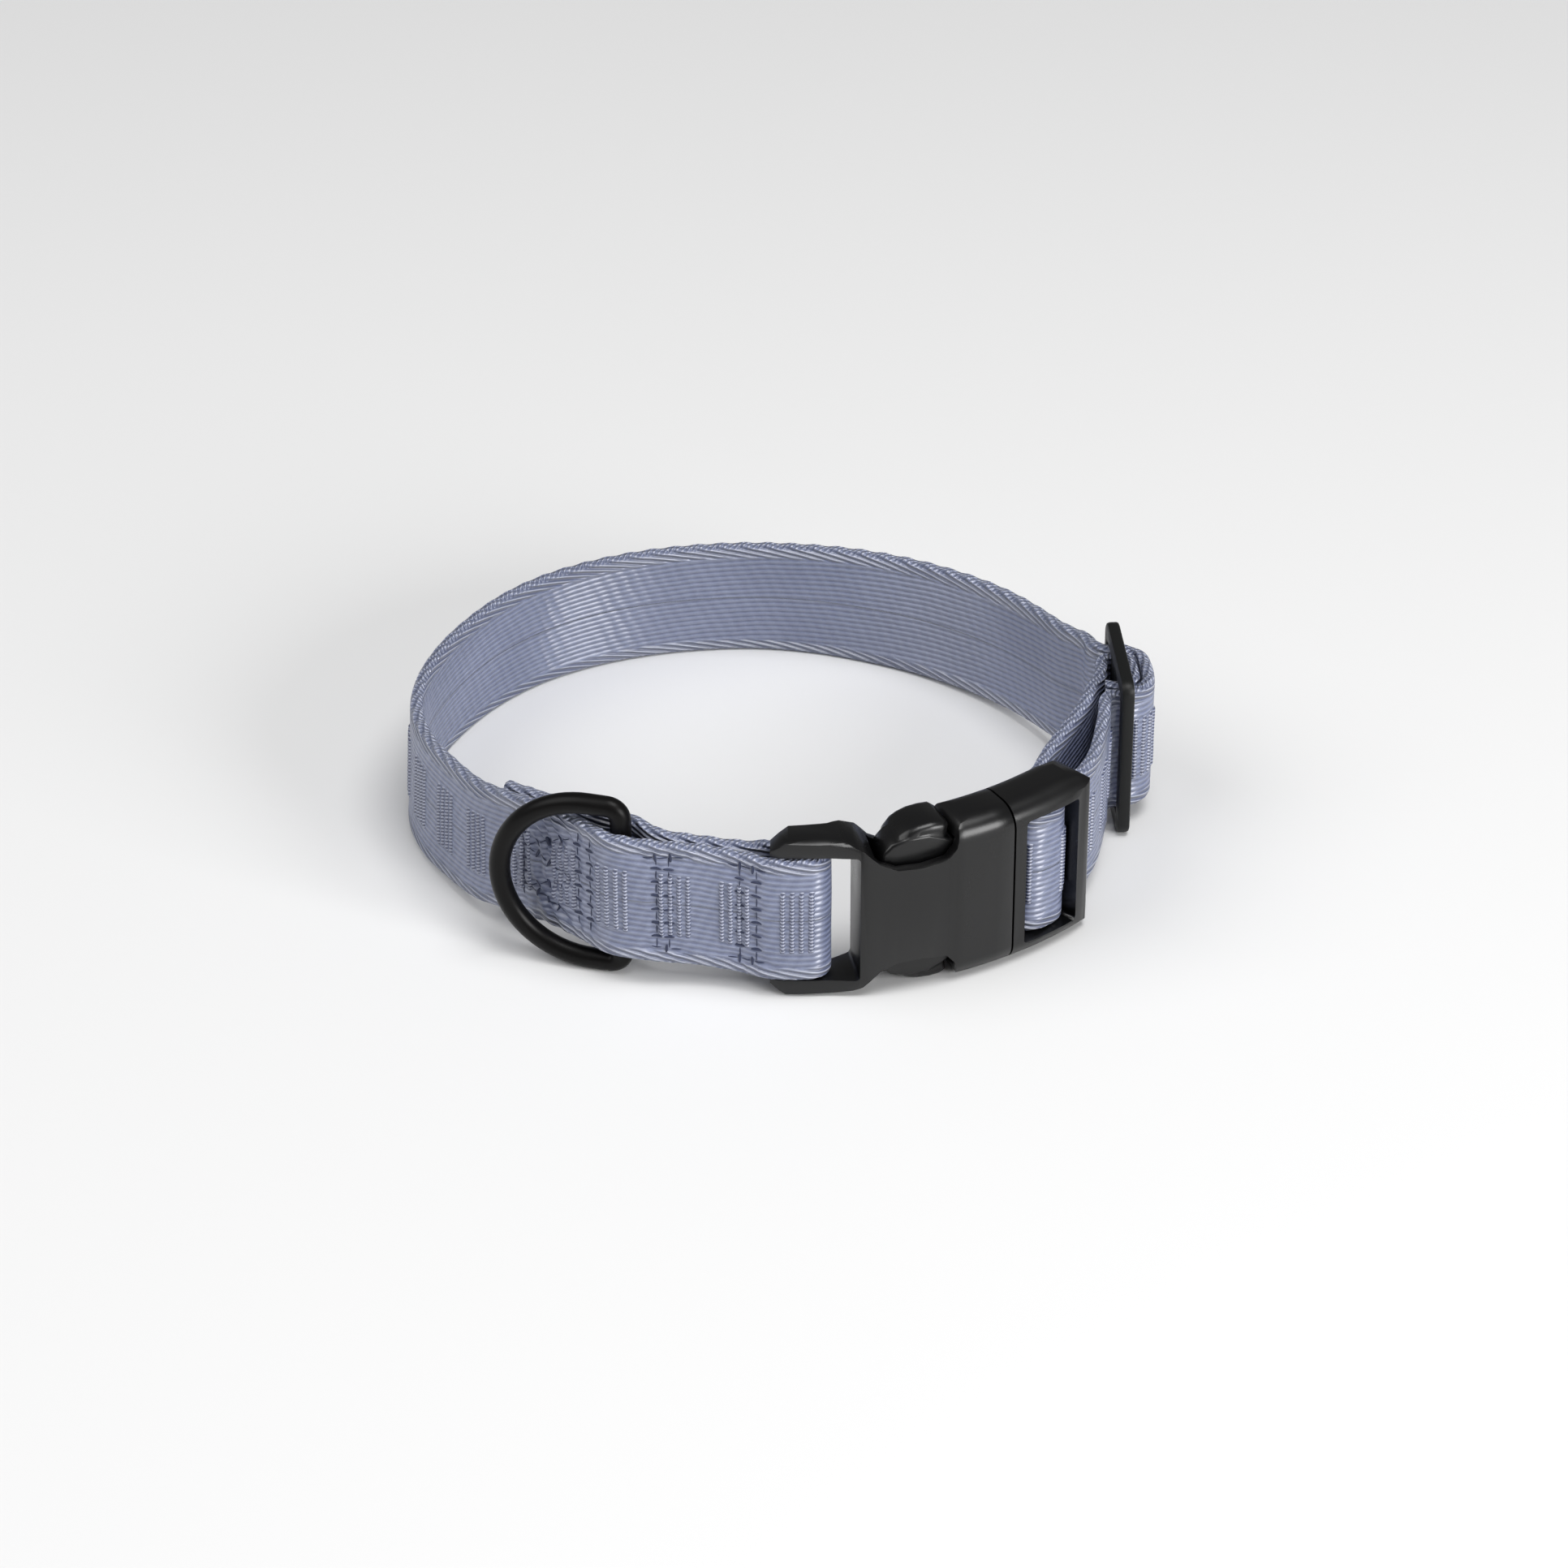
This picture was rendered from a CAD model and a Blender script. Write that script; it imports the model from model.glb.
import math

import bmesh
import bpy
import numpy as np
from mathutils import Matrix, Vector, noise


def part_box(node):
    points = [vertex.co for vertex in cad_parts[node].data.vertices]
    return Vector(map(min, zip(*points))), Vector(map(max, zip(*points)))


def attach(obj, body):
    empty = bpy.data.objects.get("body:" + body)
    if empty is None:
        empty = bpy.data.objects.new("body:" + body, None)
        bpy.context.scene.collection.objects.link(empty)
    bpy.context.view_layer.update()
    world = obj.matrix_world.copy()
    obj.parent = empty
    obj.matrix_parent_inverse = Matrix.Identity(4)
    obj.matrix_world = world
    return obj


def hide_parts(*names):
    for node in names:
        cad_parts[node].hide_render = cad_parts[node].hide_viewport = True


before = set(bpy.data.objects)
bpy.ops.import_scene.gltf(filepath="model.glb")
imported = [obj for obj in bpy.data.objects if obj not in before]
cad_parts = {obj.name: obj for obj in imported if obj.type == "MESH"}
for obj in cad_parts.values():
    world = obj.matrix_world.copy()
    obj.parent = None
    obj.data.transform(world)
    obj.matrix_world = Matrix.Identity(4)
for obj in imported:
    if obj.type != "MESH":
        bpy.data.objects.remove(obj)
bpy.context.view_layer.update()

mm = 0.001

# Camera at the photograph's angle, with a long lens.
camera = {
    "elevation": 34.0,
    "distance": 0.80,
    "aim": (0.00044, -0.00663, 0.01006),
    "sensor": 36.0,
    "pixelsPerMm": 8.56,
    "framePixels": 1932,
}

# Sizes of the collar in millimetres: the webbing and the room it has at each fitting.
webbing = {"width": 20.0, "thickness": 1.8, "gap": 0.3, "step": 0.62}
layerPitch = webbing["thickness"] + webbing["gap"]

# Plan of the loop. Places on it are shares of its width and depth.
loop = {"width": 107.0, "depth": 87.0}

buckle = {
    "middle": (0.1989, -0.3558),
    "turn": 22.65,
    "radius": 56.3,
    "length": 47.5,
    "outerBarBack": 1.2,
    "barDepth": 0.9,
    "socketBar": 5.3,
    "socketBarDepth": 0.75,
    "plugBar": 39.5,
    "plugBarHalf": 0.9,
    "windowEnd": 44.0,
    "barRadius": 1.2,
    "base": 3.0,
}
barWrap = buckle["barRadius"] + webbing["gap"] + webbing["thickness"] / 2

slider = {
    "place": (0.4523, 0.1184),
    "turn": 94.8,
    "thickness": 1.9,
    "barHalf": 2.65,
    "base": 3.0,
}

ring = {
    "bar": (-0.2103, -0.3678),
    "turn": 165.5,
    "wire": 3.0,
    "height": 29.0,
    "depth": 20.7,
    "corner": 1.9,
    "base": 4.5,
    "arcSteps": 40,
    "cornerSteps": 8,
    "sides": 10,
}

# Free run round the back: x and y shares of the loop, share of the ring's base, and lean as a
# share of the width.
backRun = [
    (0.3832, 0.2678, 0.49, 0.0),
    (0.3523, 0.3299, 0.33, 0.0),
    (0.3168, 0.3874, 0.22, 0.0),
    (0.2692, 0.4437, 0.13, 0.0),
    (0.1907, 0.5103, 0.04, 0.02),
    (0.1140, 0.5489, 0.0, 0.05),
    (0.0374, 0.5736, 0.0, 0.10),
    (-0.0430, 0.5828, 0.0, 0.13),
    (-0.1178, 0.5759, 0.0, 0.13),
    (-0.1916, 0.5586, 0.0, 0.13),
    (-0.2654, 0.5264, 0.0, 0.125),
    (-0.3355, 0.4770, 0.0, 0.115),
    (-0.3953, 0.4069, 0.0, 0.10),
    (-0.4393, 0.3276, 0.0, 0.09),
    (-0.4729, 0.2437, 0.0, 0.075),
    (-0.4953, 0.1494, 0.0, 0.06),
    (-0.5000, 0.0529, 0.0, 0.05),
    (-0.4766, -0.0460, 0.07, 0.05),
    (-0.4374, -0.1287, 0.20, 0.04),
    (-0.3990, -0.1983, 0.40, 0.02),
]

# Line between the two front layers: x and y shares, share of the ring's base, and spread as a
# share of the pitch.
frontRun = [
    (-0.3650, -0.2300, 0.66, 0.5),
    (-0.2953, -0.3000, 0.95, 0.5),
    (-0.2514, -0.3414, 1.0, 0.71),
    (*ring["bar"], 1.0, 1.31),
    (-0.1626, -0.3920, 0.91, 0.71),
    (-0.1065, -0.3989, 0.80, 0.5),
    (-0.0505, -0.4092, 0.71, 0.62),
]


def loopPlace(share):
    return (share[0] * loop["width"], share[1] * loop["depth"])


def arcPoints(centre, radius, startDeg, endDeg, steps):
    found = []
    for step in range(steps + 1):
        angle = math.radians(startDeg + (endDeg - startDeg) * step / steps)
        x = centre[0] + radius * math.cos(angle)
        found.append((x, centre[1] + radius * math.sin(angle)))
    return found


def bucklePoint(along, depth):
    middle = loopPlace(buckle["middle"])
    turn = math.radians(buckle["turn"])
    centre = (
        middle[0] - buckle["radius"] * math.sin(turn),
        middle[1] + buckle["radius"] * math.cos(turn),
    )
    angle = turn - math.pi / 2 + (along - buckle["length"] / 2) / buckle["radius"]
    reach = buckle["radius"] + depth
    return (centre[0] + reach * math.cos(angle), centre[1] + reach * math.sin(angle))


def sliderPoint(across, out):
    turn = math.radians(slider["turn"])
    along = Vector((math.cos(turn), math.sin(turn)))
    outward = Vector((math.sin(turn), -math.cos(turn)))
    return tuple(Vector(loopPlace(slider["place"])) + along * across + outward * out)


def soften(rows):
    found = [rows[0]]
    for before, row, after in zip(rows, rows[1:], rows[2:]):
        found.append(tuple((a + 4 * b + c) / 6 for a, b, c in zip(before, row, after)))
    found.append(rows[-1])
    return found


def frontLayer(side):
    rows = [(*loopPlace((x, y)), base * ring["base"]) for x, y, base, spread in frontRun]
    found = []
    for index, row in enumerate(rows):
        before = rows[max(index - 1, 0)]
        after = rows[min(index + 1, len(rows) - 1)]
        run = Vector((after[0] - before[0], after[1] - before[1])).normalized()
        out = Vector((run.y, -run.x)) * frontRun[index][3] * layerPitch * side
        found.append((row[0] + out.x, row[1] + out.y, row[2], 0.0))
    return found


def sewnEnd():
    half = webbing["thickness"] / 2
    wrap = slider["thickness"] / 2 + webbing["gap"] + half
    turnAt = slider["barHalf"] - slider["thickness"] / 2
    local = [(-turnAt - wrap + 0.1, -wrap - 0.15), (-turnAt - wrap, -wrap / 2)]
    local += arcPoints((-turnAt, 0.0), wrap, 180, 90, 5)
    local += arcPoints((turnAt, 0.0), wrap, 90, -90, 10)
    local += [(-0.6, -wrap - 0.35), (-3.6, -wrap - half - 1.0), (-7.6, -wrap - 2 * half - 1.7)]
    return [(*sliderPoint(a, b), slider["base"], 0.0) for a, b in local]


def plugWrap():
    leftTurn = buckle["plugBar"] - buckle["plugBarHalf"]
    rightTurn = buckle["plugBar"] + buckle["plugBarHalf"]
    behind = buckle["outerBarBack"] - webbing["gap"] - webbing["thickness"] / 2
    under = buckle["barDepth"] - barWrap
    clear = buckle["windowEnd"]
    end = buckle["length"]
    local = [(end + 2.5, under - 5.1), (clear + 2.4, under - 3.7)]
    local += [(clear - 1.2, under - 2.4), (clear - 3.4, under - 1.0)]
    local += arcPoints((leftTurn, buckle["barDepth"]), barWrap, 255, 90, 10)
    local += arcPoints((rightTurn, buckle["barDepth"]), barWrap, 90, 0, 5)
    local += [(rightTurn + barWrap + 0.3, behind + 0.2), (rightTurn + barWrap + 1.6, behind - 0.6)]
    local += [(clear + 2.2, behind - 0.5), (end + 2.5, behind - 0.2)]
    return [(*bucklePoint(a, b), buckle["base"], 0.0) for a, b in local]


def sliderWeave():
    half = webbing["thickness"] / 2
    over = slider["thickness"] / 2 + webbing["gap"] + half + layerPitch
    turnAt = slider["barHalf"] - slider["thickness"] / 2
    bend = half + 1.45
    level = -slider["thickness"] / 2 + 0.35
    side = turnAt + over
    local = [(-side - bend - 3.25, level - bend - 0.6)]
    local += arcPoints((-side - bend, level), bend, 270, 360, 5)
    local += arcPoints((-turnAt, 0.0), over, 180, 90, 6)
    local += arcPoints((turnAt, 0.0), over, 90, 0, 6)
    local += arcPoints((side + bend, level), bend, 180, 270, 5)
    return [(*sliderPoint(a, b), slider["base"], 0.0) for a, b in local]


def socketWrap():
    depth = buckle["socketBarDepth"]
    turn = arcPoints((buckle["socketBar"], depth), barWrap, 90, -90, 10)
    local = [(0.0, depth + barWrap - 0.3)] + turn + [(0.0, depth - barWrap + 0.3)]
    return [(*bucklePoint(a, b), buckle["base"], 0.0) for a, b in local]


def backRows():
    return [
        (*loopPlace((x, y)), base * ring["base"], lean * webbing["width"])
        for x, y, base, lean in backRun
    ]


# The strap's stretches in order, each with the control points that it runs through.
def strapStretches():
    return {
        "sewnEnd": sewnEnd(),
        "plugWrap": plugWrap(),
        "sliderWeave": sliderWeave(),
        "back": soften(backRows()),
        "frontOuter": frontLayer(1),
        "socketWrap": socketWrap(),
        "frontInner": frontLayer(-1)[::-1],
    }


def smoothPath(controls, stepSize):
    found = []
    starts = []
    count = len(controls)
    for index in range(count - 1):
        a = Vector(controls[max(index - 1, 0)])
        b = Vector(controls[index])
        c = Vector(controls[index + 1])
        d = Vector(controls[min(index + 2, count - 1)])
        steps = max(1, math.ceil((c - b).to_3d().length / stepSize))
        gap = (c - b).length
        slopeB = (c - b) / gap * 0.5 + (b - a) / max((b - a).length, 1e-6) * 0.5
        slopeC = (c - b) / gap * 0.5 + (d - c) / max((d - c).length, 1e-6) * 0.5
        starts.append(len(found))
        for step in range(steps):
            t = step / steps
            point = b * (2 * t**3 - 3 * t**2 + 1) + c * (3 * t**2 - 2 * t**3)
            point += slopeB * gap * (t**3 - 2 * t**2 + t) + slopeC * gap * (t**3 - t**2)
            found.append(point)
    starts.append(len(found))
    found.append(Vector(controls[-1]))
    return found, starts


# The strap's middle line where the frame has it: its stations, their arc lengths, the way out of
# the loop at each, and where each stretch starts and ends.
def makeStrapLine():
    controls = []
    spans = {}
    for name, points in strapStretches().items():
        spans[name] = (len(controls), len(controls) + len(points) - 1)
        controls += points
    path, starts = smoothPath(controls, webbing["step"])
    rows = np.array([tuple(point) for point in path])
    run = np.gradient(rows[:, :2], axis=0)
    run /= np.linalg.norm(run, axis=1)[:, None]
    out = np.stack([run[:, 1], -run[:, 0]], 1)
    low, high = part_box("strap")
    for axis in (0, 1):
        skin = out[:, axis] * webbing["thickness"] / 2
        edges = np.concatenate([rows[:, axis] + skin, rows[:, axis] - skin])
        rows[:, axis] += (low[axis] + high[axis]) / 2 / mm - (edges.min() + edges.max()) / 2
    rows[:, 2] += low[2] / mm - rows[:, 2].min()
    along = np.concatenate([[0.0], np.cumsum(np.hypot(*np.diff(rows[:, :2], axis=0).T))])
    marks = {name: (along[starts[a]], along[starts[b]]) for name, (a, b) in spans.items()}
    return {"rows": rows, "out": out, "along": along, "marks": marks}


strapLine = makeStrapLine()
socketTurn = sum(strapLine["marks"]["socketWrap"]) / 2


# Places on the strap, in millimetres: along it, across it from its lower edge, and out from its
# middle.
def strapAt(along, across, out):
    line = strapLine
    x, y, base, lean = (np.interp(along, line["along"], line["rows"][:, k]) for k in range(4))
    outX, outY = (np.interp(along, line["along"], line["out"][:, k]) for k in range(2))
    size = np.hypot(outX, outY)
    reach = out - lean * (across / webbing["width"] - 0.5)
    return np.stack([x + outX / size * reach, y + outY / size * reach, base + across], -1)


print("strap line", round(float(strapLine["along"][-1]), 1), "mm")


def toLinear(hexColour):
    parts = [int(hexColour[i : i + 2], 16) / 255 for i in (1, 3, 5)]
    linear = tuple(c / 12.92 if c <= 0.04045 else ((c + 0.055) / 1.055) ** 2.4 for c in parts)
    return linear + (1.0,)


# Adds a node with its settings, and its inputs as values or as links from other nodes' sockets.
def addNode(tree, kind, inputs=None, **settings):
    node = tree.nodes.new(kind)
    for name, value in settings.items():
        setattr(node, name, value)
    for key, value in (inputs or {}).items():
        if isinstance(value, bpy.types.NodeSocket):
            tree.links.new(value, node.inputs[key])
        else:
            node.inputs[key].default_value = value
    return node


def newMaterial(name):
    made = bpy.data.materials.new(name)
    made.use_nodes = True
    return made, made.node_tree, made.node_tree.nodes["Principled BSDF"]


# A number worked out from numbers or sockets.
def sums(tree, operation, *values):
    inputs = dict(enumerate(values))
    return addNode(tree, "ShaderNodeMath", inputs, operation=operation).outputs[0]


def ramp(tree, value, low, high, first=0.0, last=1.0):
    inputs = {0: value, 1: low, 2: high, 3: first, 4: last}
    return addNode(tree, "ShaderNodeMapRange", inputs).outputs[0]


def blend(tree, factor, first, second):
    return addNode(tree, "ShaderNodeMix", {0: factor, 2: first, 3: second}).outputs[0]


def blendColours(tree, factor, first, second):
    inputs = {0: factor, 6: first, 7: second}
    return addNode(tree, "ShaderNodeMix", inputs, data_type="RGBA").outputs[2]


def mottle(tree, place, scale, detail):
    inputs = {"Vector": place, "Scale": scale, "Detail": detail}
    return addNode(tree, "ShaderNodeTexNoise", inputs).outputs["Fac"]


def turned(tree, place, degrees):
    inputs = {0: place, "Rotation": (0.0, 0.0, math.radians(degrees))}
    return addNode(tree, "ShaderNodeMapping", inputs).outputs[0]


# Blender's wave texture repeats after this length at scale 1.
waveLength = 0.31416


# Even waves with the given pitch, in the units of the place.
def waves(tree, place, pitch, direction="X", distortion=0.0, detailScale=1.0):
    inputs = {
        "Vector": place,
        "Scale": waveLength / pitch,
        "Distortion": distortion,
        "Detail": 2.0,
        "Detail Scale": detailScale,
    }
    node = addNode(tree, "ShaderNodeTexWave", inputs, bands_direction=direction)
    return node.outputs["Fac"]


# Gives a shader its colour, and its bump from a height with the given strength and distance.
def finishShader(tree, shader, colour, height, strength, distance):
    inputs = {"Height": height, "Strength": strength, "Distance": distance}
    bump = addNode(tree, "ShaderNodeBump", inputs)
    tree.links.new(bump.outputs[0], shader.inputs["Normal"])
    if colour is not None:
        tree.links.new(colour, shader.inputs["Base Color"])


# Millimetres of webbing to one unit of its UV maps.
uvLength = 100.0


def webbingPlace(tree, uvName):
    uv = addNode(tree, "ShaderNodeUVMap", uv_map=uvName).outputs[0]
    inputs = {0: uv, "Scale": (uvLength, uvLength, 1.0)}
    return addNode(tree, "ShaderNodeMapping", inputs).outputs[0]


webbingLook = {
    "yarn": "#727A97",
    "yarnLight": "#8890AD",
    "gap": "#40486A",
    "gapShade": 0.6,
    "glint": "#C4C9DC",
    "glintShare": 0.15,
    "ribPitch": 0.9,
    "ribSlantDeg": 2.2,
    "floatPitch": 1.9,
    "floatSlantDeg": 24,
    "floatShare": 0.17,
    "strokePitch": 0.87,
    "strokeSlantDeg": 14,
    "strokeReach": (2.2, 2.9),
    "ropePitch": 0.66,
    "ropeReach": (0.5, 1.1),
    "ropeShare": 0.55,
    "bodyDepth": 0.58,
    "beadPitch": 0.55,
    "roughness": 0.35,
    "anisotropy": 0.9,
    "ior": 1.64,
    "sheen": 0.10,
    "sheenRoughness": 0.4,
    "bump": 0.00038,
}


# Satin polyester webbing, shuttle woven: smooth filament yarns float along the strap in fine ribs,
# and cross over its edges in slanting strokes. They shine across their length.
def makeWebbingMaterial(name, look):
    made, tree, shader = newMaterial(name)
    place = webbingPlace(tree, "strapUV")
    along = addNode(tree, "ShaderNodeSeparateXYZ", {0: place}).outputs[0]
    edge = addNode(tree, "ShaderNodeAttribute", attribute_name="edge").outputs["Fac"]
    fromEdge = sums(tree, "ABSOLUTE", edge)

    # Strokes over the selvedge, and the rope of yarns round its very edge.
    slant = math.radians(look["strokeSlantDeg"])
    across = sums(tree, "MULTIPLY", edge, math.cos(slant))
    lead = sums(tree, "MULTIPLY_ADD", along, -math.sin(slant), across)
    strokePlace = addNode(tree, "ShaderNodeCombineXYZ", {0: lead, 1: along}).outputs[0]
    strokes = waves(tree, strokePlace, look["strokePitch"], distortion=0.9, detailScale=0.5)
    twist = sums(tree, "ADD", along, edge)
    ropePlace = addNode(tree, "ShaderNodeCombineXYZ", {0: twist}).outputs[0]
    rope = waves(tree, ropePlace, look["ropePitch"] * 1.414, distortion=0.4)

    # Ribs along the middle, with slanting floats over them.
    ribPlace = turned(tree, place, look["ribSlantDeg"])
    ribs = waves(tree, ribPlace, look["ribPitch"], "Y", distortion=1.5, detailScale=0.35)
    floatPlace = turned(tree, place, look["floatSlantDeg"])
    floats = waves(tree, floatPlace, look["floatPitch"], "X", distortion=2.0, detailScale=1.6)
    body = blend(tree, look["floatShare"], ribs, floats)

    selvedge = ramp(tree, fromEdge, *look["strokeReach"], 1.0, 0.0)
    brink = ramp(tree, fromEdge, *look["ropeReach"], look["ropeShare"], 0.0)
    height = blend(tree, selvedge, body, strokes)
    height = blend(tree, brink, height, rope)

    # Mottled yarn, dark between the yarns and bright on their crests.
    drift = sums(tree, "MULTIPLY", mottle(tree, place, 0.09, 3.0), 0.6)
    tone = sums(tree, "MULTIPLY_ADD", mottle(tree, place, 2.4, 3.0), 0.5, drift)
    tone = ramp(tree, tone, 0.35, 0.75)
    yarn = blendColours(tree, tone, toLinear(look["yarn"]), toLinear(look["yarnLight"]))
    glint = sums(tree, "MULTIPLY_ADD", selvedge, 0.7, look["glintShare"])
    crest = sums(tree, "MULTIPLY", ramp(tree, height, 0.68, 0.98), glint)
    colour = blendColours(tree, crest, yarn, toLinear(look["glint"]))
    gap = sums(tree, "MULTIPLY", ramp(tree, height, 0.06, 0.42, 1.0, 0.0), look["gapShade"])
    colour = blendColours(tree, gap, colour, toLinear(look["gap"]))

    depth = sums(tree, "MULTIPLY_ADD", selvedge, 1.0, look["bodyDepth"])
    depth = sums(tree, "MULTIPLY", height, depth)
    satin(tree, shader, look, "strapUV")
    finishShader(tree, shader, colour, depth, 1.0, look["bump"])
    return made


# The sheen of filament yarns: it spreads across their length, so the tangent turns by a quarter.
def satin(tree, shader, look, uvName):
    tangent = addNode(tree, "ShaderNodeTangent", direction_type="UV_MAP", uv_map=uvName).outputs[0]
    tree.links.new(tangent, shader.inputs["Tangent"])
    shader.inputs["Anisotropic"].default_value = look["anisotropy"]
    shader.inputs["Anisotropic Rotation"].default_value = 0.25
    shader.inputs["Roughness"].default_value = look["roughness"]
    shader.inputs["IOR"].default_value = look["ior"]
    shader.inputs["Specular IOR Level"].default_value = 1.0
    shader.inputs["Sheen Weight"].default_value = look["sheen"]
    shader.inputs["Sheen Roughness"].default_value = look["sheenRoughness"]


# Dressed strap, in millimetres. "innerRelief" is how much of the relief shows on the inner side.
strapShape = {
    "selvedge": 2.3,
    "selvedgeRows": 8,
    "middleRows": 26,
    "edgeHalf": 0.42,
    "edgeRound": 0.9,
    "scallop": 0.13,
    "scallopPitch": 3.6,
    "scallopReach": 0.6,
    "waver": 0.12,
    "waverSize": (14, 9),
    "waverSeed": 3.7,
    "innerRelief": 0.25,
}

# Sinking at the seams and folds next to them, in millimetres, and the place that gathers most
# folds: it is inside the ring.
pucker = {
    "sink": 0.25,
    "sinkReach": 0.75,
    "fold": 0.2,
    "foldReach": 2.2,
    "foldShare": 0.45,
    "foldsPerMm": (0.42, 0.24),
    "wander": 0.8,
    "wanderSize": (3.4, 5.2),
    "wanderSeed": 8.1,
    "gathered": 293.0,
    "gatheredReach": 6.5,
}

# Seams through both front layers: the start and end of each, along and across the outer layer.
seams = [
    ((298.6, 2.4), (298.6, 18.6)),
    ((301.0, 2.4), (301.0, 18.6)),
    ((310.6, 2.4), (310.6, 18.4)),
    ((312.3, 2.4), (312.3, 18.4)),
    ((322.4, 2.6), (322.4, 18.4)),
    ((324.9, 2.6), (324.9, 18.4)),
    ((308.4, 17.6), (314.6, 18.2)),
    ((320.4, 18.2), (326.4, 18.2)),
    ((309.2, 2.9), (314.6, 2.5)),
    ((320.4, 2.6), (326.2, 2.8)),
    ((297.4, 16.6), (288.6, 12.4)),
    ((288.6, 12.4), (297.4, 9.4)),
    ((297.4, 9.4), (288.8, 5.6)),
    ((288.8, 5.6), (296.6, 3.4)),
    ((288.2, 3.6), (288.2, 16.8)),
]
stitch = {
    "pitch": 2.25,
    "length": 1.5,
    "thickness": 0.2,
    "tick": 1.5,
    "tickThickness": 0.42,
    "lift": 0.02,
    "colour": "#343B57",
    "shade": "#262C44",
}


def acrossRows():
    selvedge = strapShape["selvedge"]
    inside = webbing["width"] - selvedge
    edge = np.linspace(0.0, selvedge, strapShape["selvedgeRows"] + 1)
    middle = np.linspace(selvedge, inside, strapShape["middleRows"] + 1)
    return np.concatenate([edge, middle[1:-1], webbing["width"] - edge[::-1]])


# How far places are from the nearest seam, in millimetres.
def seamDistance(along, across):
    nearest = np.full(len(along), 99.0)
    for (a0, c0), (a1, c1) in seams:
        run = np.array([a1 - a0, c1 - c0])
        size = np.hypot(*run)
        share = np.clip(((along - a0) * run[0] + (across - c0) * run[1]) / size**2, 0, 1)
        away = np.hypot(along - a0 - share * run[0], across - c0 - share * run[1])
        nearest = np.minimum(nearest, away)
    return nearest


def softNoise(along, across, size, seed):
    return np.array(
        [noise.noise(Vector((a / size[0], c / size[1], seed))) for a, c in zip(along, across)]
    )


# How far the surface stands out of the plain band: seams pull it in, and folds gather next to
# them. The inner front layer mirrors the outer one about the socket's bar, with the same seams.
def strapRelief(along, across):
    waver = softNoise(along, across, strapShape["waverSize"], strapShape["waverSeed"])
    place = np.where(along > socketTurn, 2 * socketTurn - along, along)
    away = seamDistance(place, across)
    sunk = -pucker["sink"] * np.exp(-((away / pucker["sinkReach"]) ** 2))
    near = np.exp(-((away / pucker["foldReach"]) ** 2))
    wander = softNoise(place, across, pucker["wanderSize"], pucker["wanderSeed"])
    foldsAlong, foldsAcross = pucker["foldsPerMm"]
    phase = place * foldsAlong + across * foldsAcross + pucker["wander"] * wander
    folds = pucker["fold"] * np.sin(2 * np.pi * phase)
    gathered = np.clip(1 - np.abs(place - pucker["gathered"]) / pucker["gatheredReach"], 0, 1)
    return strapShape["waver"] * waver + sunk + folds * (pucker["foldShare"] * near + gathered)


def addObject(name, data):
    made = bpy.data.objects.new(name, data)
    bpy.context.scene.collection.objects.link(made)
    return made


def meshObject(name, bm):
    mesh = bpy.data.meshes.new(name)
    bm.to_mesh(mesh)
    bm.free()
    return addObject(name, mesh)


def evaluatedMesh(piece):
    graph = bpy.context.evaluated_depsgraph_get()
    graph.update()
    return bpy.data.meshes.new_from_object(piece.evaluated_get(graph))


def readPoints(mesh):
    points = np.zeros(len(mesh.vertices) * 3)
    mesh.vertices.foreach_get("co", points)
    return points.reshape(-1, 3)


def readAttribute(mesh, name):
    values = np.zeros(len(mesh.vertices), np.float32)
    mesh.attributes[name].data.foreach_get("value", values)
    return values.astype(float)


def addWebbingUV(mesh, name, along, across):
    corner = np.zeros(len(mesh.loops), np.int32)
    mesh.loops.foreach_get("vertex_index", corner)
    flat = np.stack([along[corner] / uvLength, across[corner] / uvLength], -1)
    mesh.uv_layers.new(name=name).data.foreach_set("uv", flat.astype(np.float32).ravel())


# A plain wall drawn up from the strap's lower edge, thickened and then shaped.
def makeStrap():
    rows = acrossRows()
    stations = strapLine["along"]
    bm = bmesh.new()
    alongLayer = bm.verts.layers.float.new("along")
    acrossLayer = bm.verts.layers.float.new("across")
    start = strapAt(stations, np.zeros_like(stations), 0.0) * mm
    line = [bm.verts.new(point) for point in start]
    for vert, along in zip(line, stations):
        vert[alongLayer] = along
    edges = [bm.edges.new(pair) for pair in zip(line, line[1:])]
    for before, after in zip(rows, rows[1:]):
        made = bmesh.ops.extrude_edge_only(bm, edges=edges)["geom"]
        verts = [item for item in made if isinstance(item, bmesh.types.BMVert)]
        corners = set(verts)
        lines = [item for item in made if isinstance(item, bmesh.types.BMEdge)]
        edges = [item for item in lines if set(item.verts) <= corners]
        bmesh.ops.translate(bm, verts=verts, vec=(0.0, 0.0, (after - before) * mm))
        for vert in verts:
            vert[acrossLayer] = after
    bmesh.ops.recalc_face_normals(bm, faces=bm.faces)
    strap = meshObject("strap_webbing", bm)
    wall = strap.modifiers.new("Wall", "SOLIDIFY")
    wall.thickness = webbing["thickness"] * mm
    wall.offset = 0.0
    made = evaluatedMesh(strap)
    strap.modifiers.clear()
    strap.data = made
    shapeBand(made)
    return strap


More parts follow.
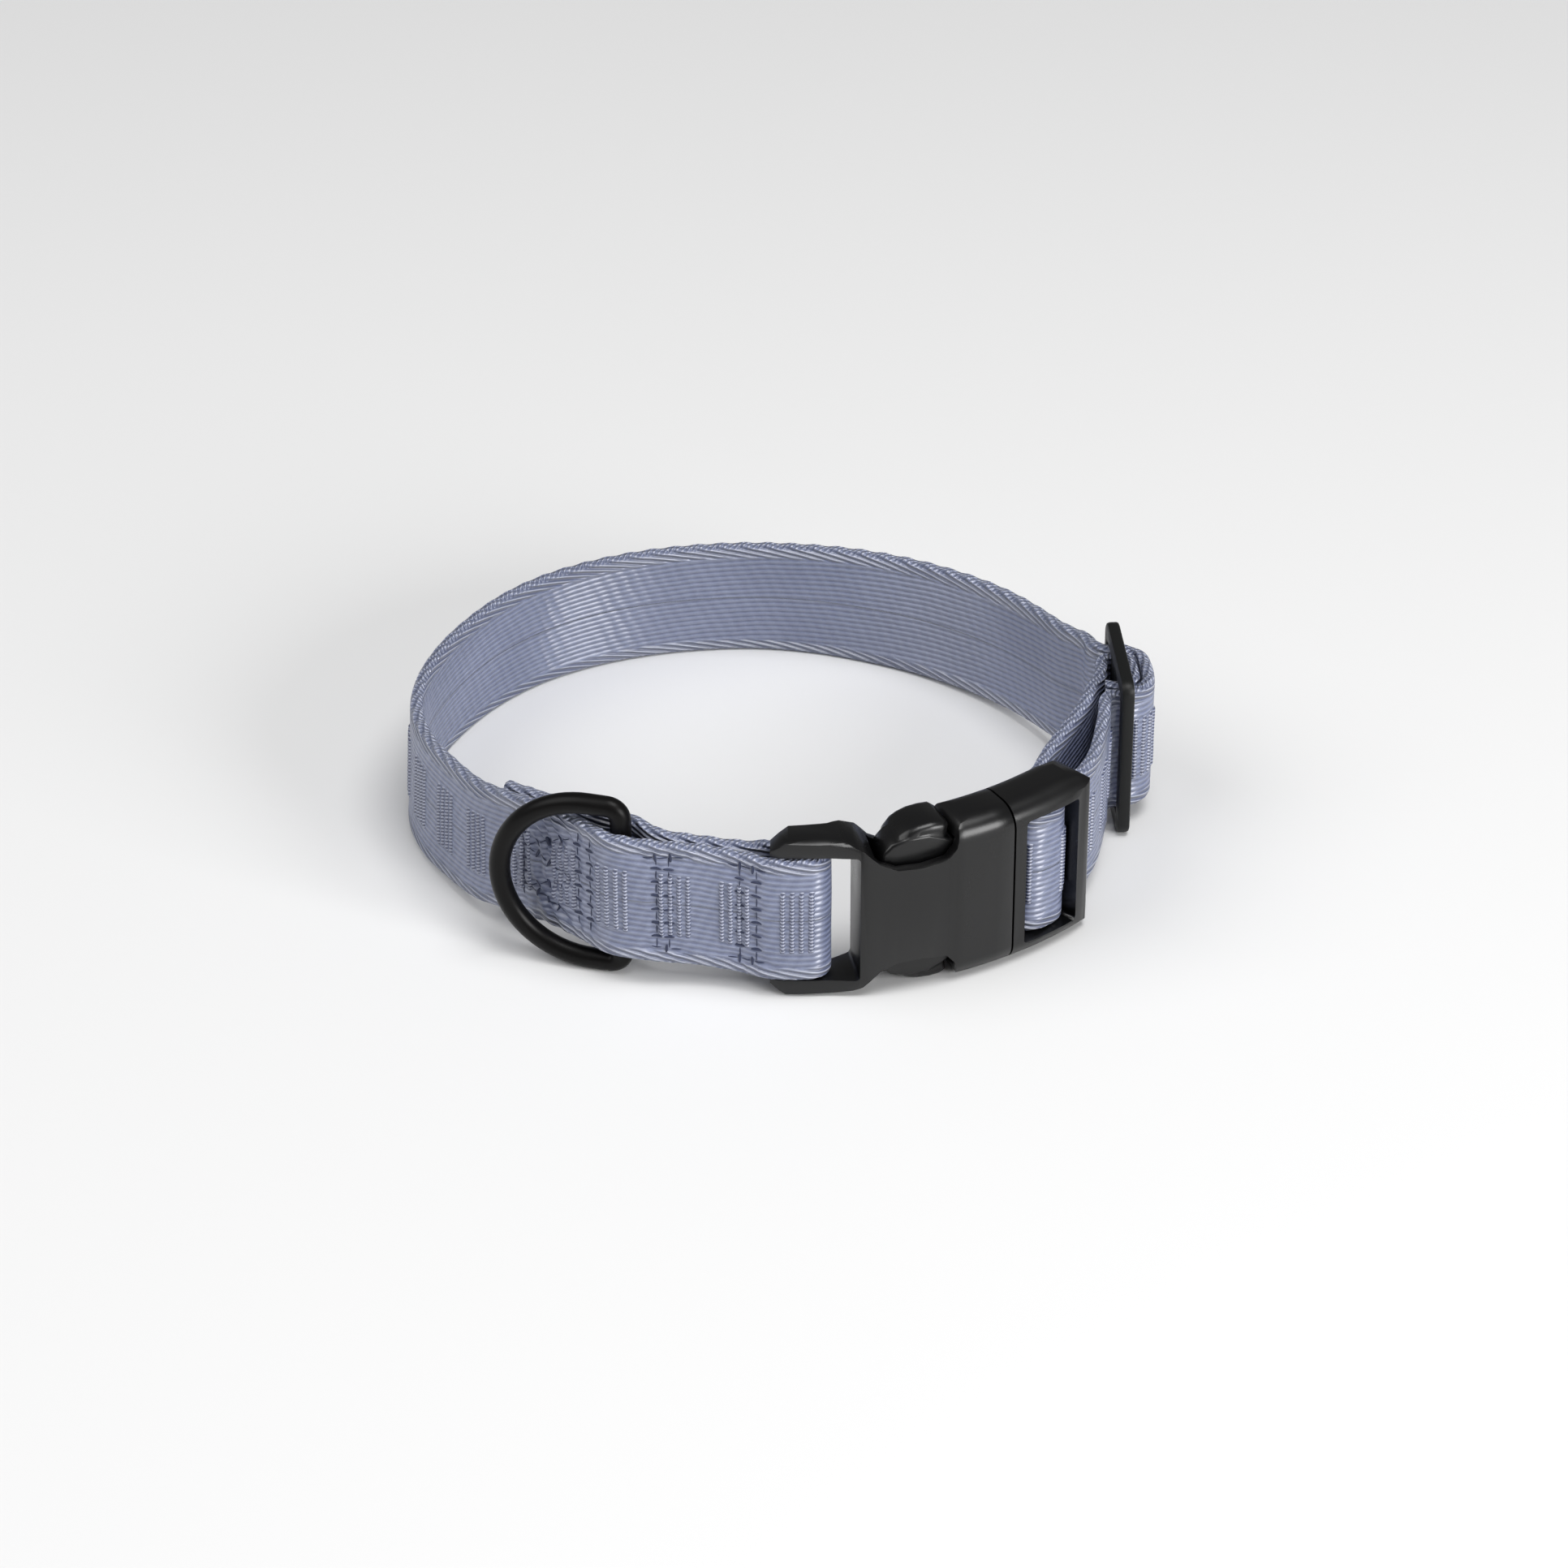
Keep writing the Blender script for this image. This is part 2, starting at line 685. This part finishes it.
# Gives the plain wall its rounded and scalloped edges, seams and soft waver. The attribute "edge"
# is how far a place is round the nearer edge from the middle of the wall.
def shapeBand(mesh):
    shape = strapShape
    along = readAttribute(mesh, "along")
    across = readAttribute(mesh, "across")
    points = readPoints(mesh) / mm
    # The plain wall stands straight up from the lower edge: its two sides are told apart there.
    middle = strapAt(along, 0.0 * across, 0.0)
    ahead = strapAt(along, 0.0 * across, 1.0) - middle
    side = np.where(np.sum(((points - middle) * ahead)[:, :2], axis=1) > 0, 1.0, -1.0)
    upper = np.where(across > webbing["width"] / 2, 1.0, -1.0)
    fromEdge = np.minimum(across, webbing["width"] - across)
    full = webbing["thickness"] / 2
    turn = np.clip(fromEdge / shape["edgeRound"], 0, 1)
    half = shape["edgeHalf"] + (full - shape["edgeHalf"]) * np.sqrt(1 - (1 - turn) ** 2)
    relief = strapRelief(along, across)
    relief = np.where(side > 0, relief, shape["innerRelief"] * relief)
    scallop = shape["scallop"] * np.cos(2 * np.pi * along / shape["scallopPitch"])
    lift = scallop * np.clip(1 - fromEdge / shape["scallopReach"], 0, 1)
    # The lower edge doesn't sink under the surface that the strap rests on.
    lift = np.where(upper < 0, np.abs(lift), lift)
    placed = strapAt(along, across + lift, side * (half + relief)) * mm
    mesh.vertices.foreach_set("co", placed.astype(np.float32).ravel())
    addWebbingUV(mesh, "strapUV", along, across)
    edge = side * upper * (shape["edgeHalf"] + fromEdge)
    layer = mesh.attributes.new("edge", "FLOAT", "POINT")
    layer.data.foreach_set("value", edge.astype(np.float32))
    mesh.shade_smooth()
    mesh.update()


# Woven band in the middle of the outer side: blocks of raised bars, with plain webbing between.
ribBand = {
    "low": 4.75,
    "high": 15.25,
    "blockPitch": 8.6,
    "barPitch": 1.25,
    "bars": 4,
    "barWidth": 0.72,
    "height": 0.3,
    "sunk": 0.06,
    "tip": 0.5,
    "rowsAlong": 4,
    "rowsAcross": 20,
    "stretches": ((46.0, 118.0), (122.0, 336.0)),
}


# Places on the strap's outer side, with its relief.
def outerPlaces(along, across, lift):
    half = webbing["thickness"] / 2 + strapRelief(along, across)
    return strapAt(along, across, half + lift) * mm


def barMiddles():
    shape = ribBand
    blockLength = shape["bars"] * shape["barPitch"]
    found = []
    for start, end in shape["stretches"]:
        for block in np.arange(start, end - blockLength, shape["blockPitch"]):
            found += [block + bar * shape["barPitch"] for bar in range(shape["bars"])]
    return found


def makeRibBand():
    shape = ribBand
    middles = barMiddles()
    barSize = Matrix.Diagonal((shape["barWidth"], shape["high"] - shape["low"], 1.0, 1.0))
    bm = bmesh.new()
    for middle in middles:
        bmesh.ops.create_grid(
            bm,
            x_segments=shape["rowsAlong"],
            y_segments=shape["rowsAcross"],
            size=0.5,
            matrix=Matrix.Translation((middle, 0.0, 0.0)) @ barSize,
        )
    band = meshObject("woven_rib_band", bm)
    mesh = band.data
    points = readPoints(mesh)
    along = points[:, 0]
    across = points[:, 1] + (shape["low"] + shape["high"]) / 2
    ownMiddle = np.repeat(middles, len(points) // len(middles))
    off = np.abs(along - ownMiddle) / (shape["barWidth"] / 2)
    fromTip = np.minimum(across - shape["low"], shape["high"] - across)
    tip = np.clip(fromTip / shape["tip"], 0, 1)
    dome = np.sqrt(np.clip(1 - off**2, 0, 1)) * np.sqrt(tip)
    lift = -shape["sunk"] + (shape["height"] + shape["sunk"]) * dome
    placed = outerPlaces(along, across, lift)
    mesh.vertices.foreach_set("co", placed.astype(np.float32).ravel())
    addWebbingUV(mesh, "bandUV", along, across)
    mesh.shade_smooth()
    return band


# Raised satin bars, woven by short weft floats laid one under the other.
def makeRibMaterial(name, look):
    made, tree, shader = newMaterial(name)
    place = webbingPlace(tree, "bandUV")
    beads = waves(tree, place, look["beadPitch"], "Y", distortion=0.6)
    body = ramp(tree, beads, 0.1, 0.8)
    colour = blendColours(tree, body, toLinear(look["gap"]), toLinear(look["yarnLight"]))
    crest = ramp(tree, beads, 0.6, 1.0, 0.0, 0.7)
    colour = blendColours(tree, crest, colour, toLinear(look["glint"]))
    satin(tree, shader, look, "bandUV")
    finishShader(tree, shader, colour, beads, 0.7, look["bump"])
    return made


# Seams on both front layers: short threads laid along each seam, and a dark tick across it where
# the needle went through.
def makeStitching():
    thread = (stitch["length"], stitch["thickness"])
    tick = (stitch["tick"], stitch["tickThickness"])
    bm = bmesh.new()
    for mirrored in (False, True):
        for (a0, c0), (a1, c1) in seams:
            turn = math.atan2(c1 - c0, a1 - a0)
            count = max(2, round(math.hypot(a1 - a0, c1 - c0) / stitch["pitch"]))
            for index in range(count):
                share = (index + 0.5) / count
                place = (a0 + (a1 - a0) * share, c0 + (c1 - c0) * share)
                addStitch(bm, place, turn, *thread, mirrored)
                if index:
                    share = index / count
                    place = (a0 + (a1 - a0) * share, c0 + (c1 - c0) * share)
                    addStitch(bm, place, turn + math.pi / 2, *tick, mirrored)
    made = meshObject("seam_thread", bm)
    made.data.shade_smooth()
    return made


def addStitch(bm, place, turn, length, thickness, mirrored):
    made = bmesh.ops.create_uvsphere(bm, u_segments=8, v_segments=6, radius=0.5)["verts"]
    local = np.array([tuple(vert.co) for vert in made])
    ahead = local[:, 2] * length
    aside = local[:, 0] * thickness
    along = place[0] + ahead * math.cos(turn) - aside * math.sin(turn)
    across = place[1] + ahead * math.sin(turn) + aside * math.cos(turn)
    if mirrored:
        along = 2 * socketTurn - along
    lift = stitch["lift"] + local[:, 1] * thickness
    for vert, point in zip(made, outerPlaces(along, across, lift)):
        vert.co = point


# Polyester sewing thread, twisted and waxed.
def makeThreadMaterial():
    made, tree, shader = newMaterial("polyester_sewing_thread")
    place = addNode(tree, "ShaderNodeTexCoord").outputs["Object"]
    fuzz = mottle(tree, place, 1500.0, 2.0)
    colour = blendColours(tree, fuzz, toLinear(stitch["shade"]), toLinear(stitch["colour"]))
    tree.links.new(colour, shader.inputs["Base Color"])
    shader.inputs["Roughness"].default_value = 0.5
    return made


# Buckle halves and slider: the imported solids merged, dissolved to clean faces and smoothed by
# angle.
cleaning = {"merge": 1e-6, "flatDeg": 0.6, "smoothDeg": 32}


def cleanCopy(node, name):
    bm = bmesh.new()
    bm.from_mesh(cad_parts[node].data)
    bmesh.ops.remove_doubles(bm, verts=bm.verts, dist=cleaning["merge"])
    bmesh.ops.dissolve_limit(
        bm,
        angle_limit=math.radians(cleaning["flatDeg"]),
        verts=bm.verts,
        edges=bm.edges,
        use_dissolve_boundaries=False,
    )
    made = meshObject(name, bm)
    made.data.materials.clear()
    made.data.shade_smooth()
    made.data.set_sharp_from_angle(angle=math.radians(cleaning["smoothDeg"]))
    return made


# The ring's line as places out from its straight bar and up from its middle: a small corner, the
# arc, and the other corner.
def ringLine():
    half = (ring["height"] - ring["wire"]) / 2
    reach = ring["depth"] - ring["wire"]
    corner = ring["corner"]
    lowCorner = []
    for step in range(ring["cornerSteps"] + 1):
        angle = math.pi / 2 * step / ring["cornerSteps"]
        out = corner * (1 - math.cos(angle))
        lowCorner.append((out, -half + corner * (1 - math.sin(angle))))
    arc = arcPoints((reach - half, 0.0), half, -90, 90, ring["arcSteps"])
    return lowCorner + arc + [(out, -height) for out, height in reversed(lowCorner)]


def makeRing():
    points = ringLine()
    turn = math.radians(ring["turn"])
    x = np.array([out * math.cos(turn) for out, height in points])
    y = np.array([out * math.sin(turn) for out, height in points])
    low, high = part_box("d_ring")
    x += (low.x + high.x) / 2 / mm - (x.min() + x.max()) / 2
    y += (low.y + high.y) / 2 / mm - (y.min() + y.max()) / 2
    middleZ = (low.z + high.z) / 2 / mm
    curve = bpy.data.curves.new("ring_wire", "CURVE")
    curve.dimensions = "3D"
    curve.bevel_depth = ring["wire"] / 2 * mm
    curve.bevel_resolution = ring["sides"]
    line = curve.splines.new("POLY")
    line.points.add(len(points) - 1)
    for point, placeX, placeY, (out, height) in zip(line.points, x, y, points):
        point.co = (placeX * mm, placeY * mm, (height + middleZ) * mm, 1.0)
    line.use_cyclic_u = True
    guide = addObject("ring_wire", curve)
    mesh = evaluatedMesh(guide)
    bpy.data.objects.remove(guide)
    mesh.shade_smooth()
    return addObject("d_ring_wire", mesh)


plasticLook = {
    "colour": "#070708",
    "roughness": 0.30,
    "specular": 0.5,
    "grain": 0.35,
    "bump": 0.00001,
}
coatLook = {
    "colour": "#090808",
    "roughness": 0.36,
    "specular": 0.17,
    "grain": 0.6,
    "bump": 0.00001,
}
plateLook = {
    "colour": "#101111",
    "roughness": 0.42,
    "specular": 0.3,
    "grain": 0.45,
    "bump": 0.00002,
}


# Moulded acetal, or a baked coating on zinc or steel: near black, satin, with a very fine grain.
def makeSatinBlack(name, look):
    made, tree, shader = newMaterial(name)
    place = addNode(tree, "ShaderNodeTexCoord").outputs["Object"]
    grain = mottle(tree, place, 1 / (look["grain"] * mm), 3.0)
    worn = mottle(tree, place, 90.0, 4.0)
    gloss = ramp(tree, worn, 0.3, 0.7, look["roughness"] - 0.05, look["roughness"] + 0.06)
    shader.inputs["Base Color"].default_value = toLinear(look["colour"])
    shader.inputs["Specular IOR Level"].default_value = look["specular"]
    tree.links.new(gloss, shader.inputs["Roughness"])
    finishShader(tree, shader, None, grain, 0.4, look["bump"])
    return made


def dress(piece, material, body, slot, *nodes):
    piece.data.materials.clear()
    piece.data.materials.append(material)
    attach(piece, body)
    if nodes:
        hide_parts(*nodes)


# Studio: pale floor, large soft lights from the front right and a fill from the left.
studio = {
    "floorColour": "#E9E9E9",
    "floorHalf": 3.0,
    "world": 0.16,
    "lights": {
        "Key": {"place": (0.24, -0.22, 1.05), "size": 0.6, "power": 6.4},
        "Side": {"place": (0.66, -0.58, 0.36), "size": 0.44, "power": 5.7},
        "Fill": {"place": (-0.70, -0.20, 0.80), "size": 0.9, "power": 4.8},
    },
}


def addCamera():
    data = bpy.data.cameras.new("Photo camera")
    perPixel = camera["pixelsPerMm"] / mm * camera["distance"]
    data.lens = perPixel / camera["framePixels"] * camera["sensor"]
    data.sensor_width = camera["sensor"]
    data.clip_start = 0.01
    made = addObject("Photo camera", data)
    lift = math.radians(camera["elevation"])
    back = Vector((0.0, -math.cos(lift), math.sin(lift)))
    made.location = Vector(camera["aim"]) + back * camera["distance"]
    made.rotation_euler = (math.pi / 2 - lift, 0.0, 0.0)
    bpy.context.scene.camera = made
    bpy.context.scene.view_settings.view_transform = "Standard"


def addLight(name, setting):
    data = bpy.data.lights.new(name, "AREA")
    data.shape = "DISK"
    data.size = setting["size"]
    data.energy = setting["power"]
    made = addObject(name, data)
    made.location = setting["place"]
    made.rotation_euler = (-Vector(setting["place"])).to_track_quat("-Z", "Y").to_euler()


def addStudio():
    bm = bmesh.new()
    bmesh.ops.create_grid(bm, x_segments=1, y_segments=1, size=studio["floorHalf"])
    floor = meshObject("floor", bm)
    made, tree, shader = newMaterial("matte_paper_backdrop")
    shader.inputs["Base Color"].default_value = toLinear(studio["floorColour"])
    shader.inputs["Roughness"].default_value = 0.9
    shader.inputs["Specular IOR Level"].default_value = 0.1
    floor.data.materials.append(made)
    for name, setting in studio["lights"].items():
        addLight(name, setting)
    world = bpy.data.worlds.new("Studio")
    bpy.context.scene.world = world
    world.use_nodes = True
    background = world.node_tree.nodes["Background"]
    background.inputs[0].default_value = (1.0, 1.0, 1.0, 1.0)
    background.inputs[1].default_value = studio["world"]


addCamera()
addStudio()
print("camera and studio in place")

webbingMaterial = makeWebbingMaterial("satin_polyester_webbing", webbingLook)
dress(makeStrap(), webbingMaterial, "collar", "webbing", "strap")
print("strap done")
barMaterial = makeRibMaterial("satin_polyester_bars", webbingLook)
dress(makeRibBand(), barMaterial, "collar", "webbing")
dress(makeStitching(), makeThreadMaterial(), "collar", "webbing")
print("woven band and seams done")

plastic = makeSatinBlack("moulded_acetal", plasticLook)
for node, name in (("buckle_socket", "socket_body"), ("buckle_plug", "plug_body")):
    dress(cleanCopy(node, name), plastic, "collar", "buckle_plastic", node)
coatedPlate = makeSatinBlack("coated_zinc_plate", plateLook)
dress(cleanCopy("slider", "slider_plate"), coatedPlate, "collar", "slider_coating", "slider")
coatedWire = makeSatinBlack("coated_steel_wire", coatLook)
dress(makeRing(), coatedWire, "ring", "ring_coating", "d_ring")
print("buckle, slider and ring done")

bpy.context.view_layer.update()
